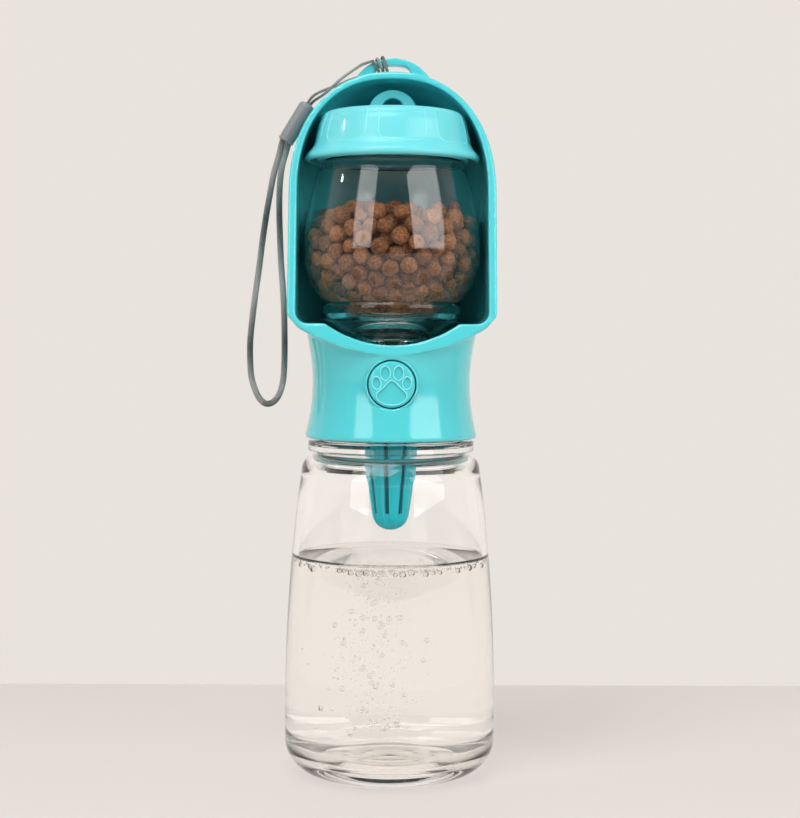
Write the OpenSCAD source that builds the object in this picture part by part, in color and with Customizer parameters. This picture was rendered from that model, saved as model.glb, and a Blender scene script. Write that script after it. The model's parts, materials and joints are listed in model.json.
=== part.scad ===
// Dog travel water bottle: a clear bottle, a turquoise head with a drinking
// trough, and a clear dry-food cup that stands in the trough.
// Millimetres. The origin is the middle of the bottle's base, +Z is up, and
// the trough and the button face -Y.

/* [Bottle] */
// Widest diameter of the bottle
bottle_d = 75.5; // [75:0.5:77]
// Wall thickness of the bottle
bottle_wall = 2.2; // [1.8:0.1:2.6]
// Height of the bottle's mouth
mouth_z = 128.4; // [128:0.1:128.4]
// Radius of the bottle's neck, outside
neck_r = 24.5; // [24:0.1:24.8]

/* [Head] */
// Smallest radius of the waist
waist_r = 28.2; // [28:0.1:28.6]
// Height of the waist's narrowest place, which is the button's axis
waist_z = 139.9; // [139.7:0.1:140.1]
// Half the width of the trough, outside
trough_r = 36.2; // [36:0.1:37]
// Thickness of the trough's wall
trough_wall = 3; // [2.6:0.1:3]
// Height of the trough's top, outside
trough_top_z = 249.5; // [249:0.5:251]
// Lean of the trough's open face, in degrees
rim_tilt = 12.5; // [12:0.5:13]

/* [Button] */
// Radius of the push button
button_r = 8.1; // [7.8:0.1:8.1]
// Gap round the push button
button_gap = 0.35; // [0.3:0.05:0.4]
// Travel of the push button
button_travel = 3.5; // [2:0.5:3.5]

/* [Food cup] */
// Largest radius of the food cup
cup_r = 31; // [30:0.5:31]
// Wall thickness of the food cup
cup_wall = 1.6; // [1.4:0.1:2]
// Radius of the lid's lower edge
lid_r = 31.1; // [30:0.1:31.1]
// Number of grip panels on the lid
lid_panels = 8; // [6:1:8]

/* [Filter] */
// Number of slots in the filter basket
filter_slots = 8; // [6:1:8]
// Width of each slot
filter_slot_w = 1.5; // [1:0.1:1.8]

/* [Lanyard] */
// Diameter of the thin cord
thin_d = 1; // [0.8:0.1:1]
// Diameter of the braided wrist cord
thick_d = 2.2; // [1.8:0.1:2.2]
// Turns of the thin cord round the carry loop
hitch_turns = 3; // [2:1:3]

/* [Hidden] */
$fn = 96;

turquoise = [0.34, 0.82, 0.84];
clear = [0.85, 0.93, 0.95, 0.35];
silicone = [0.93, 0.94, 0.92];
steel = [0.75, 0.76, 0.78];
cord_grey = [0.42, 0.44, 0.44];

// Bottle levels
bottle_r = bottle_d / 2;
base_corner = 12;
widest_z = 20;
shoulder_z = 108.3;
shoulder_drop = 5.75;
groove_r = 26.5;
flange_r = 29.65;
flange_z = [115.5, 119.1];
mouth_r = 22.3;
floor_z = 7;

// Head levels
skirt_z = 120;
skirt_flare = 2.5;
skirt_reach = 18.5;
waist_power = 1.9;
bore_r = 27;
deck_z = mouth_z + 1.4;
deck_t = 1.5;
pedestal_h = 3.4;
vent_x = 17.6;
hollow_r = 26.1;
ceiling_z = 147.2;
arch_z = 206;
arch_power = 2.2;
// the cavity is squarer than the outside, so that the lid clears it
cavity_power = 2.5;
chin_r = 61.6;
chin_z = 149.9;
chin_corner = 4;
rim_y = -28.2;
rim_z = 155;
cavity_r = trough_r - trough_wall;
cavity_floor_z = 160.7;
cavity_corner = 4;
hood_z = 165;
well_z = 150;
dip_r = 39;
dip_lean = 8;
dip_low = [-28.6, 153.8];

// Mechanism, all on the button's axis
seat_y = 0;
seat_t = 1.5;
seal_y = seat_y + seat_t + 0.05;
cap_y = -28.9;
cap_t = 1.8;
cap_back_y = cap_y + cap_t;
button_back_y = -23;
spring_end_y = -17.6;
wire_r = 0.4;
spring_r = 4.4;
spring_curls = 6;
stem_r = 1.6;
gland_r = 2.65;

// Screw places
screw_xy = [for (x = [-13.1, 13.1], y = [-13.1, 13.1]) [x, y]];

// Cup and lid levels
cup_top_z = 231;
cup_wide_z = 187;
cup_neck_r = 24.2;
lid_z = 218.3;
lid_top_z = 236;

// Lanyard: the carry loop's place, and the routes by hand
loop_y = [1, 6];
loop_mid_y = 3.5;
loop_z = 239.6;
loop_r = 16;
slot_a = 6.6;
slot_h = 4.6;
slot_z = 248.3;
hitch_r = 14.4;
hitch_size = [2.2, 3.3];
hitch_from = 27.5;
hitch_step = 6.9;

// Route of the thin cord from the sleeve up to its turns, and back behind them
hitch_up = [
    [-29.4, 0.6, 238.6], [-28.2, 0.8, 240], [-26.4, 0.8, 241.2],
    [-24.2, 0.6, 242.7], [-21.6, 0.2, 245], [-18.4, -0.2, 247.8],
    [-15, -0.3, 250.3], [-12.6, -0.3, 251.9], [-10.8, -0.1, 253]
];
hitch_back = [
    [-3.4, 7.9, 253.8], [-5.6, 8.1, 252.9], [-8, 7.9, 251.7],
    [-10.4, 7.5, 250.3], [-13.2, 7, 249.3], [-15.8, 6.1, 248.2],
    [-18.4, 4.8, 246.9], [-21.1, 3.2, 245.5], [-23.8, 1.8, 244.3],
    [-27, 0.6, 242.7], [-29, -0.2, 241], [-30, -0.7, 239.4], [-30.4, -0.8, 238.4]
];

// Route of the wrist cord: down the left side, round, and up again
wrist_route = [
    [-39.4, 0, 225], [-40.6, 0, 220], [-42.3, 0, 214], [-43.8, 0, 206],
    [-45, 0, 199], [-46.3, 0, 190], [-47.4, 0, 181], [-48.8, 0, 171],
    [-50, 0, 161], [-50.6, 0, 154], [-50.6, 0, 148], [-50.2, 0, 142],
    [-49, 0, 137.5], [-47.2, 0, 133.8], [-45, 0, 132], [-42.8, 0, 132.3],
    [-40.8, 0, 134.2], [-39.4, 0, 137.5], [-38.6, 0, 142], [-38.3, 0, 149],
    [-38.3, 0, 156], [-38.5, 0, 165], [-39, 0, 174], [-39.6, 0, 182],
    [-40, 0, 191], [-40.3, 0, 200], [-40.2, 0, 209], [-39.5, 0, 216],
    [-38.2, 0, 221], [-37, 0, 225]
];

// ---------- outlines that follow a rule ----------

// Points of a quarter of a superellipse, from the side up to the top
function arch(a, b, z0, p, n) =
    [for (i = [0:n]) let (t = 90 * i / n)
        [a * pow(cos(t), 2 / p), z0 + b * pow(sin(t), 2 / p)]];

// Points of an arc about [x, z] from angle a0 to a1
function arc(x, z, r, a0, a1, n) =
    [for (i = [0:n]) let (t = a0 + (a1 - a0) * i / n)
        [x + r * cos(t), z + r * sin(t)]];

function mirrored(points) =
    [for (i = [len(points) - 1:-1:0]) [-points[i][0], points[i][1]]];

// Radius of the bottle's body at height z
function body_r(z) =
    z < widest_z ? bottle_r
    : bottle_r - shoulder_drop * pow((z - widest_z) / (shoulder_z - widest_z), 2.15);

// Radius of the waist at height z
function waist(z) =
    waist_r + skirt_flare * pow(abs(z - waist_z) / skirt_reach, waist_power);

// Height of the trough's chin at x: one wide arc
function chin(x) = chin_z + chin_r - sqrt(chin_r * chin_r - x * x);

// Radius of the cup's bulb at height z
function bulb_r(z) =
    z < 185.5 ? cup_r * sqrt(1 - pow((185.5 - z) / 26.6, 2))
    : z < cup_wide_z ? cup_r
    : cup_r - 5 * pow((z - cup_wide_z) / 30, 1.6);

// ---------- bottle ----------

bottle_outer = concat(
    // the punt: a dome with two rings round it
    [[0, 6.1], [4, 5.9], [6.4, 5.2], [7.4, 4.4], [10.4, 4.3], [11.4, 4], [12.4, 3.1]],
    [[15.4, 2.9], [17, 2.5], [18.6, 1.4], [20.4, 0.6], [22.5, 0]],
    arc(bottle_r - base_corner, base_corner, base_corner, -90, 0, 10),
    [for (z = [widest_z:8.83:shoulder_z - 1]) [body_r(z), z]],
    arc_scaled(groove_r, shoulder_z, 5.5, 6.3, 8),
    [[groove_r, flange_z[0]], [flange_r, flange_z[0]],
     [flange_r, flange_z[1]], [neck_r, flange_z[1]], [neck_r, mouth_z]]
);

// A quarter of an ellipse from its side up to its top
function arc_scaled(x, z, a, b, n) =
    [for (i = [0:n]) let (t = 90 * i / n) [x + a * cos(t), z + b * sin(t)]];

bottle_inner = concat(
    [[mouth_r, mouth_z], [mouth_r, 120.6], [22.9, 119], [24.1, 117.2], [24.3, 113.4], [24.9, 112.6]],
    reversed(arc_scaled(25.6, 105.4, 4.9, 6.9, 8)),
    [for (z = [100:-9:16]) [body_r(z) - bottle_wall, z]],
    reversed(arc(bottle_r - bottle_wall - 9, floor_z + 9, 9, -90, 0, 8)),
    [[20, floor_z + 0.5], [15, floor_z + 1.8], [9, floor_z + 3.1], [0, floor_z + 3.6]]
);

function reversed(points) = [for (i = [len(points) - 1:-1:0]) points[i]];

module water_bottle() {
    color(clear)
        rotate_extrude($fn = 128)
            polygon(concat(bottle_outer, bottle_inner));
}

module ring(r_in, r_out, z0, z1) {
    translate([0, 0, z0])
        difference() {
            cylinder(r = r_out, h = z1 - z0);
            translate([0, 0, -1])
                cylinder(r = r_in, h = z1 - z0 + 2);
        }
}

module neck_gasket() {
    color(silicone)
        ring(22.6, 25.4, mouth_z + 0.1, deck_z - 0.1);
}

// ---------- head ----------

// A cylinder along Y from y0 to y1, on the button's axis unless moved
module along_y(r, y0, y1, x = 0, z = waist_z) {
    translate([x, y1, z])
        rotate([90, 0, 0])
            cylinder(r = r, h = y1 - y0);
}

// Right half of the trough's outline above the chin
trough_side = concat(
    [for (x = [30.2:1.2:32.7]) [x, chin(x)]],
    arc(trough_r - chin_corner, 165, chin_corner, -55, 0, 6),
    arch(trough_r, trough_top_z - arch_z, arch_z, arch_power, 22)
);

trough_chin = [for (x = [0:3:29.9]) [x, chin(x)]];

module trough_outline() {
    half = concat(trough_chin, trough_side);
    polygon(concat(half, mirrored(half)));
}

module head_outer() {
    waist_side = [for (z = [skirt_z:2:156.2]) [waist(z), z]];
    rotate_extrude($fn = 128)
        polygon(concat([[0, skirt_z]], waist_side, trough_side));
    intersection() {
        rotate([90, 0, 0])
            linear_extrude(height = 34)
                trough_outline();
        translate([0, 0, 147.5])
            cylinder(r1 = 28.6, r2 = 28.6 + 1.1 * 110, h = 110);
    }
}

// Everything in front of the trough's open face
module in_front() {
    translate([0, rim_y, rim_z])
        rotate([-rim_tilt, 0, 0])
            translate([-60, -40, -25])
                cube([120, 40, 140]);
}

module cavity() {
    side = concat(
        arc(cavity_r - cavity_corner, cavity_floor_z + cavity_corner, cavity_corner, -90, 0, 6),
        arch(cavity_r, trough_top_z - 2.5 - arch_z, arch_z, cavity_power, 22)
    );
    rotate_extrude($fn = 128)
        polygon(concat([[0, cavity_floor_z]], side));
    rotate([90, 0, 0])
        linear_extrude(height = 44)
            polygon(concat(side, mirrored(side)));
}

// The round well under the cup's foot, and the dip that leads out of it
module well() {
    rotate_extrude($fn = 96)
        polygon([
            [0, well_z], [14.2, well_z], [15.2, 155.2], [18.4, 156.6],
            [24.8, 160.8], [24.8, 163], [0, 163]
        ]);
    intersection() {
        translate([0, dip_low[0], dip_low[1] + dip_r])
            rotate([90 - dip_lean, 0, 0])
                cylinder(r = dip_r, h = 70, center = true, $fn = 128);
        translate([-30, -44, 148])
            cube([60, 40, 14.5]);
    }
}

// Flat loop above the trough's top: a round outside, a flatter slot inside
module carry_loop() {
    outside = concat([[14, 244]], arc(0, loop_z, loop_r, 30, 150, 20), [[-14, 244]]);
    slot = arch(slot_a, slot_h, slot_z, 3, 10);
    translate([0, loop_y[1], 0])
        rotate([90, 0, 0])
            linear_extrude(height = loop_y[1] - loop_y[0])
                difference() {
                    polygon(outside);
                    polygon(concat(slot, mirrored(slot)));
                }
}

// Waist, trough and carry loop together
module head_moulding() {
    difference() {
        union() {
            difference() {
                head_outer();
                // a saddle in the top, so that a finger or a hook gets under the loop
                along_y(40, loop_y[0] - 0.6, loop_y[1] + 8, 0, 288.3);
                hollow();
            }
            bosses();
            along_y(button_r + button_gap + 0.75, -28.15, -26.3);
            intersection() {
                carry_loop();
                translate([-20, 0, 246.8])
                    cube([40, 10, 12]);
            }
        }
        in_front();
        cavity();
        well();
        along_y(button_r + button_gap, -40, button_back_y + button_travel + 0.8);
        // outlet into the well
        translate([0, -6, 140])
            cylinder(r = 3.2, h = 12);
        for (p = screw_xy)
            translate([p[0], p[1], 130])
                cylinder(r = 1.3, h = 15, $fn = 32);
    }
}

// Waist and trough floor, up to the joint with the hood
module head_shell() {
    color(turquoise)
        intersection() {
            head_moulding();
            translate([-50, -50, skirt_z])
                cube([100, 100, hood_z - skirt_z]);
        }
}

// Trough walls, arch and carry loop, joined to the shell along one level face
module trough_hood() {
    color(turquoise)
        intersection() {
            head_moulding();
            translate([-50, -50, hood_z])
                cube([100, 100, 100]);
        }
}

module hollow() {
    translate([0, 0, skirt_z - 1])
        cylinder(r = bore_r, h = deck_z - skirt_z + 1);
    translate([0, 0, deck_z - 1])
        cylinder(r = hollow_r, h = ceiling_z - deck_z + 1);
}

module bosses() {
    for (p = screw_xy)
        translate([p[0], p[1], deck_z + deck_t])
            cylinder(r = 3, h = ceiling_z - deck_z - deck_t + 1, $fn = 48);
}

module neck_collar() {
    color(turquoise)
        ring(25.6, 26.9, skirt_z + 0.3, mouth_z + 1);
}

module deck() {
    color(turquoise)
        difference() {
            union() {
                translate([0, 0, deck_z])
                    cylinder(r = hollow_r - 0.2, h = deck_t);
                translate([0, 0, deck_z])
                    cylinder(r = 13, h = pedestal_h);
            }
            // socket of the filter basket
            translate([0, 0, deck_z - 1])
                cylinder(r = 8.9, h = pedestal_h - 0.2);
            // water way up to the valve
            translate([0, 7, deck_z])
                cylinder(r = 2.4, h = 9, $fn = 32);
            for (p = screw_xy)
                translate([p[0], p[1], deck_z - 1])
                    cylinder(r = 1.4, h = 9, $fn = 32);
            translate([vent_x, 0, deck_z - 1])
                cylinder(r = 1.35, h = 9, $fn = 32);
            for (a = [0:90:270])
                translate([vent_x + 2.4 * cos(a), 2.4 * sin(a), deck_z - 1])
                    cylinder(r = 0.5, h = 9, $fn = 24);
        }
}

module deck_screws() {
    color(steel)
        for (p = screw_xy)
            translate([p[0], p[1], deck_z]) {
                cylinder(r = 1.2, h = 13, $fn = 32);
                difference() {
                    translate([0, 0, -1.8])
                        cylinder(r = 2.5, h = 1.8, $fn = 32);
                    translate([-2, -0.3, -2])
                        cube([4, 0.6, 1]);
                    translate([-0.3, -2, -2])
                        cube([0.6, 4, 1]);
                }
            }
}

// Umbrella valve that lets air into the bottle while water runs out
module air_valve() {
    color(silicone)
        translate([vent_x, 0, deck_z])
            rotate_extrude($fn = 48)
                polygon([
                    [0, -1.3], [1.6, -1.3], [3.4, -0.4], [3.4, -0.05], [1.3, -0.05],
                    [1.3, deck_t + 0.05], [1.9, deck_t + 0.05], [1.2, deck_t + 2.2], [0, deck_t + 2.6]
                ]);
}

module valve_chamber() {
    pedestal_z = deck_z + pedestal_h;
    color(turquoise)
        difference() {
            union() {
                along_y(6.6, spring_end_y, 12.5);
                // sleeve that guides the button, cut to the room inside the waist
                intersection() {
                    along_y(9.6, -25.4, -16.4);
                    translate([0, 0, deck_z + deck_t + 0.1])
                        cylinder(r = hollow_r - 0.2, h = ceiling_z - deck_z - deck_t - 0.2);
                }
                translate([0, 0, pedestal_z])
                    cylinder(r = 12, h = 1.2);
                translate([-6.6, -9, pedestal_z])
                    cube([13.2, 19.5, waist_z - pedestal_z]);
                translate([0, -6, waist_z])
                    cylinder(r = 3, h = 9.2);
            }
            // spring pocket behind the button
            along_y(button_r + 0.3, -30, spring_end_y);
            // gland, outlet side, seat and inlet side
            along_y(1.8, -20, -15.9);
            along_y(gland_r, -16, -8.5);
            along_y(4.6, -8.6, seat_y);
            along_y(2.8, seat_y - 1, seat_y + seat_t + 1);
            along_y(4.6, seat_y + seat_t, 11);
            translate([0, 7, pedestal_z - 1])
                cylinder(r = 2.4, h = 6, $fn = 32);
            translate([0, -6, waist_z])
                cylinder(r = 2, h = 12, $fn = 32);
        }
}

module button_cap() {
    color(turquoise)
        difference() {
            union() {
                along_y(button_r - 0.5, cap_y, cap_y + 0.6);
                along_y(button_r, cap_y + 0.5, button_back_y);
            }
            difference() {
                along_y(button_r - 1.1, cap_back_y, button_back_y + 1);
                along_y(2.8, cap_back_y - 1, button_back_y - 1.5);
            }
            along_y(stem_r, cap_back_y, -20);
            button_figure();
        }
}

// A shallow paw outline: four toes and a rounded pad, drawn with generic ovals
module button_figure() {
    toes = [[-5.1, 0.5, 1.15, 1.75], [-2.3, 3.9, 1.4, 2.1], [2.3, 3.9, 1.4, 2.1], [5.1, 0.5, 1.15, 1.75]];
    translate([0, cap_y + 0.25, waist_z])
        rotate([90, 0, 0])
            linear_extrude(height = 1) {
                for (t = toes)
                    difference() {
                        oval(t[0], t[1], t[2] + 0.18, t[3] + 0.18);
                        oval(t[0], t[1], t[2] - 0.18, t[3] - 0.18);
                    }
                difference() {
                    pad_shape(0.18);
                    pad_shape(-0.18);
                }
            }
}

module oval(x, y, a, b) {
    polygon([for (t = [0:20:340]) [x + a * cos(t), y + b * sin(t)]]);
}

// The main pad: a triangle with soft corners, widest below
module pad_shape(grow) {
    polygon([for (t = [0:12:348])
        let (r = 3.55 + 1.05 * cos(3 * (t + 30)) * (sin(t) < 0 ? 1 : 0.8) + grow)
        [r * 1.12 * cos(t), -3.3 + r * 0.86 * sin(t)]]);
}

module valve_stem() {
    color(steel)
        difference() {
            along_y(stem_r, cap_back_y, 5.6);
            for (y = [-14.8, -13])
                along_y_groove(y, 1.1, 0.1);
            along_y_groove(4.4, 0.8, 0.35);
        }
}

// A square groove round the stem
module along_y_groove(y, width, depth) {
    difference() {
        along_y(stem_r + 1, y - width / 2, y + width / 2);
        along_y(stem_r - depth, y - width, y + width);
    }
}

module stem_orings() {
    color([0.15, 0.15, 0.16])
        for (y = [-14.8, -13])
            translate([0, y, waist_z])
                rotate([90, 0, 0])
                    rotate_extrude($fn = 48)
                        translate([2.03, 0])
                            circle(r = 0.5, $fn = 24);
}

module valve_seal() {
    color([0.2, 0.2, 0.21])
        difference() {
            along_y(4.1, seal_y, 3.9);
            along_y(stem_r, seal_y - 1, 5);
        }
}

module spring_clip() {
    color(steel)
        difference() {
            along_y(3, 4.05, 4.75);
            along_y(stem_r - 0.35, 3, 6);
            translate([-0.9, 3, waist_z - 4])
                cube([1.8, 3, 4]);
        }
}

// ---------- tubes that follow a line ----------

function unit(v) = v / norm(v);

// Direction of a route at point i
function heading(p, i) =
    unit(p[min(i + 1, len(p) - 1)] - p[max(i - 1, 0)]);

// A side direction that turns as little as possible along the route
function sides(p, start, i = 0, found = []) =
    i == len(p) ? found
    : let (
        t = heading(p, i),
        last = i == 0 ? start : found[i - 1],
        s = unit(last - t * (last * t))
    ) sides(p, start, i + 1, concat(found, [s]));

// One unbroken tube of radius r with n sides along the points p
module tube(p, r, n, start) {
    s = sides(p, start);
    rings = [for (i = [0:len(p) - 1])
        let (u = s[i], v = cross(heading(p, i), u))
        for (k = [0:n - 1]) p[i] + r * (cos(360 * k / n) * u + sin(360 * k / n) * v)];
    last = (len(p) - 1) * n;
    skin = [for (i = [0:len(p) - 2], k = [0:n - 1])
        let (a = i * n + k, b = i * n + (k + 1) % n)
        each [[a, a + n, b], [b, a + n, b + n]]];
    polyhedron(
        points = rings,
        faces = concat([[for (k = [0:n - 1]) k]], skin, [[for (k = [n - 1:-1:0]) last + k]]),
        convexity = 10
    );
}

// Least distance between points of a line that are far apart along it
function self_gap(p, skip) =
    min([for (i = [0:len(p) - 1 - skip], j = [i + skip:len(p) - 1]) norm(p[i] - p[j])]);

spring_front_y = cap_back_y + wire_r + 0.05;
spring_back_y = spring_end_y - wire_r - 0.05;
spring_line = [for (i = [0:spring_curls * 8])
    let (t = 45 * i, s = i / (spring_curls * 8))
    [spring_r * cos(t), spring_front_y + (spring_back_y - spring_front_y) * s,
     waist_z + spring_r * sin(t)]];

module button_spring() {
    echo(spring_gap = self_gap(spring_line, 6) - 2 * wire_r);
    color(steel)
        tube(spring_line, wire_r, 6, [1, 0, 0]);
}

module outlet_grommet() {
    color(silicone)
        translate([0, -6, 0])
            ring(2, 3.15, waist_z + 9.25, well_z + 0.6);
}

// ---------- filter ----------

basket_outer = concat(
    [[0, 86.8], [3, 87.3], [5.2, 88.8], [6.3, 91], [6.9, 94]],
    [[8.5, 105], [9.4, 117], [10, deck_z - 1.9]]
);

// Turn of the first slot, from the trough's mouth
slot_turn = -102;

// Flutes on the basket: distance from its axis at the lower end, lean and radius
flute_out = 8.5;
flute_lean = 5.2;
flute_r = 2.3;

module filter_basket() {
    wall = 1.2;
    color(turquoise)
        difference() {
            rotate_extrude($fn = 72)
                polygon(concat(
                    basket_outer,
                    [[11.6, deck_z - 1.9], [11.6, deck_z - 0.1], [8.05, deck_z - 0.1],
                     [8.05, deck_z + 2], [7, deck_z + 2], [7, deck_z - 1]],
                    reversed([for (p = basket_outer) if (p[1] > 88) [p[0] - wall, p[1]]]),
                    [[0, 88.6]]
                ));
            for (k = [0:filter_slots - 1])
                rotate([0, 0, 360 * k / filter_slots + slot_turn]) {
                    translate([3.5, -filter_slot_w / 2, 93])
                        cube([9, filter_slot_w, 31]);
                    // shallow flute along the slot
                    translate([flute_out, 0, 90])
                        rotate([0, flute_lean, 0])
                            cylinder(r = flute_r, h = 36.5, $fn = 40);
                }
        }
}

module filter_ring() {
    color(silicone)
        ring(8.25, 8.85, deck_z + 0.4, deck_z + 1.8);
}

// ---------- food cup ----------

cup_outer = concat(
    [[0, 152.2], [11.5, 152.2], [13.5, 154.4], [13.8, 157], [16.7, 157.3],
     [22.9, 161.5], [24.4, 162], [24.9, 162.8], [24.9, 167.2], [24.2, 168.4]],
    [for (z = [169.6, 171.9, 175.8, 180, 185.5]) [bulb_r(z), z]],
    [for (z = [190:4.5:215]) [bulb_r(z), z]],
    [[26, 217], [25.2, 217.9], [cup_neck_r, 218.1], [cup_neck_r, cup_top_z]]
);

cup_inner = concat(
    [[cup_neck_r - cup_wall, cup_top_z], [cup_neck_r - cup_wall, 217.2]],
    [for (z = [213:-4.5:188]) [bulb_r(z) - cup_wall, z]],
    [for (z = [185.5, 180, 175.8, 171.9, 169.4]) [bulb_r(z) - cup_wall, z + 0.8]],
    [[19.5, 167.6], [11, 166.4], [0, 166]]
);

module food_cup() {
    color(clear)
        difference() {
            rotate_extrude($fn = 128)
                polygon(concat(cup_outer, cup_inner));
            // hollow foot, open below
            translate([0, 0, 151])
                cylinder(r1 = 9.6, r2 = 11.4, h = 12.5);
        }
}

module cup_seat_pad() {
    color(silicone)
        ring(10.4, 12.6, well_z, well_z + 1.9);
}

module lid_gasket() {
    color(silicone)
        ring(20.4, 24.8, cup_top_z + 0.1, cup_top_z + 1.5);
}

module cup_lid() {
    top_in_z = cup_top_z + 1.6;
    color(turquoise)
        difference() {
            union() {
                rotate_extrude($fn = 128)
                    polygon(concat(
                        [[0, top_in_z], [25.2, top_in_z], [25.2, lid_z + 0.2]],
                        [[lid_r - 1, lid_z], [lid_r - 0.2, lid_z + 0.5], [lid_r, lid_z + 1.2]],
                        [[28.3, 226.2], [25.6, 232.6]],
                        arc(22.1, 232, 3.6, 20, 80, 6),
                        [[12, lid_top_z], [0, lid_top_z + 0.2]]
                    ));
                lid_loop();
            }
            // hollow between the threaded ring and the outer skirt
            rotate_extrude($fn = 128)
                polygon([[26.9, 217], [29.3, 217], [29.3, 219.4], [26.9, 225.2]]);
            grip_panels();
        }
}

// Shallow panels with soft lower corners, open at the lid's top edge
module grip_panels() {
    difference() {
        for (k = [0:lid_panels - 1])
            rotate([90, 0, 360 * k / lid_panels + 7])
                linear_extrude(height = 34)
                    grip_outline();
        rotate_extrude($fn = 128)
            polygon([[0, 216], [lid_r - 0.1, 219.5], [27.95, 226.2], [25.25, 232.6], [24.9, 240], [0, 240]]);
    }
}

module grip_outline() {
    half = concat([[0, 223.6]], arc(5.6, 226.4, 2.8, -90, 0, 5), [[7.9, 237]]);
    polygon(concat(half, mirrored(half)));
}

// Lifting loop on the lid
module lid_loop() {
    translate([0, 4, 0])
        rotate([90, 0, 0])
            linear_extrude(height = 4)
                difference() {
                    intersection() {
                        translate([0, 235.1])
                            circle(r = 9);
                        translate([-10, lid_top_z])
                            square([20, 10]);
                    }
                    translate([0, 237.2])
                        circle(r = 4);
                }
}

// ---------- lanyard ----------

// Turns of the thin cord round the left end of the carry loop's bowed band
function hitch_point(t) =
    let (
        c = cos(t), s = sin(t),
        out = hitch_r + hitch_size[0] * sign(c) * pow(abs(c), 1 / 3),
        deep = hitch_size[1] * sign(s) * pow(abs(s), 1 / 3),
        lean = hitch_from - hitch_step * t / 360
    )
    [-out * sin(lean), loop_mid_y - deep, loop_z + out * cos(lean)];

hitch_line = concat(
    hitch_up,
    [for (t = [40:20:hitch_turns * 360 - 120]) hitch_point(t)],
    hitch_back
);

module hitch_cord() {
    echo(hitch_gap = self_gap(hitch_line, 9) - thin_d);
    color([0.3, 0.33, 0.33])
        tube(hitch_line, thin_d / 2, 6, [0, 1, 0]);
}

sleeve_top = [-30, 0, 238.9];
sleeve_end = [-38.2, 0, 225.4];

module cord_sleeve() {
    d = sleeve_end - sleeve_top;
    color([0.52, 0.53, 0.54])
        translate(sleeve_top)
            rotate([0, 90 + atan2(-d[2], d[0]), 0])
                rotate_extrude($fn = 48)
                    polygon(concat(
                        [[0, 0], [1.5, 0]],
                        arc(1.5, 1.4, 1.4, -90, 0, 4),
                        [[2.9, norm(d) - 0.5], [2.4, norm(d)], [0, norm(d)]]
                    ));
}

module wrist_cord() {
    color(cord_grey)
        tube(wrist_route, thick_d / 2, 8, [0, 1, 0]);
}

water_bottle();
neck_gasket();
neck_collar();
head_shell();
trough_hood();
deck();
deck_screws();
air_valve();
valve_chamber();
button_cap();
valve_stem();
stem_orings();
valve_seal();
spring_clip();
button_spring();
outlet_grommet();
filter_basket();
filter_ring();
cup_seat_pad();
food_cup();
lid_gasket();
cup_lid();
hitch_cord();
cord_sleeve();
wrist_cord();
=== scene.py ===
# %% [markdown]
# # A dog's travel water bottle
#
# The object is a clear bottle with a turquoise head. The head carries a drinking
# trough, and a clear cup of dry food stands in the trough. Here we build the
# pieces again with smooth surfaces where light plays on them, and give every
# piece a finish. All lengths below are written in millimetres and turned into
# Blender's metres by one factor, so they can be compared with the CAD source.

# %% Load the frame
import json
import math
import random

import bmesh
import bpy
import numpy as np
from mathutils import Euler, Matrix, Vector

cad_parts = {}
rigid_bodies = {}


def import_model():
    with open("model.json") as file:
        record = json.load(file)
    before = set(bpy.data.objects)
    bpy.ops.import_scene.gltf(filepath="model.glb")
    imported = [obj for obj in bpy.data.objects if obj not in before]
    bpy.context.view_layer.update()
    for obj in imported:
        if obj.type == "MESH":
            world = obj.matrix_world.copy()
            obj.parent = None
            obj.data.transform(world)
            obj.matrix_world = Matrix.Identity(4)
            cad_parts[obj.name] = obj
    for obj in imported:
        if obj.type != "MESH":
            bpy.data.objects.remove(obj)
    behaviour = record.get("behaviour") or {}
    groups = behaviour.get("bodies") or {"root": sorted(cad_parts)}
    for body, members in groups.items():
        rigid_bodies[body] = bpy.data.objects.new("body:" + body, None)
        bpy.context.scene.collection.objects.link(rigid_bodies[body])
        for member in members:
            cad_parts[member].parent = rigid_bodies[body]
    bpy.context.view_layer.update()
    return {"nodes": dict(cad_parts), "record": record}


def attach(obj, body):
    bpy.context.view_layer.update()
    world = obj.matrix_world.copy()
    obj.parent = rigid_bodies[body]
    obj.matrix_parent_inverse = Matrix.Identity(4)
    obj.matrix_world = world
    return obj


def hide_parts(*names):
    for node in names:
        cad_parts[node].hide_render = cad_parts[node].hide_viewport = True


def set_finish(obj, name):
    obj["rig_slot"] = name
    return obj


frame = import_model()
MM = 0.001

# %% [markdown]
# ## Where we look from
#
# The photograph was taken with a longish lens from about 60 cm away, a little
# above the middle of the bottle. A lens of 73.6 mm on Blender's 36 mm sensor
# gives the same perspective. The camera leans down by 2.5 degrees, and a third
# of a degree of roll lets the bottle lean to the right as it does in the picture.
# It also stands a little to the left of the middle and looks back at the bottle,
# because the button in the picture sits right of the waist's middle.

# %% Camera
LENS, SENSOR = 73.58, 36
EYE_AWAY, EYE_ACROSS, EYE_UP = 600, 3.2, 156.8
ASIDE, DOWN, ROLL = (math.radians(angle) for angle in (0.7, 2.53, 0.33))


def placed(data, name):
    """A new object in the scene that holds data."""
    made = bpy.data.objects.new(name, data)
    bpy.context.scene.collection.objects.link(made)
    return made


eye = placed(bpy.data.cameras.new("camera"), "camera")
bpy.context.scene.camera = eye
eye.data.lens = LENS
eye.data.sensor_width = SENSOR
eye.location = Vector((EYE_ACROSS - EYE_AWAY * math.sin(ASIDE), -EYE_AWAY * math.cos(ASIDE), EYE_UP)) * MM
look = Euler((math.radians(90) - DOWN, 0, -ASIDE)).to_matrix()
eye.rotation_euler = (look @ Matrix.Rotation(ROLL, 3, "Z")).to_euler()
print("camera at", tuple(round(v, 3) for v in eye.location))

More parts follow.
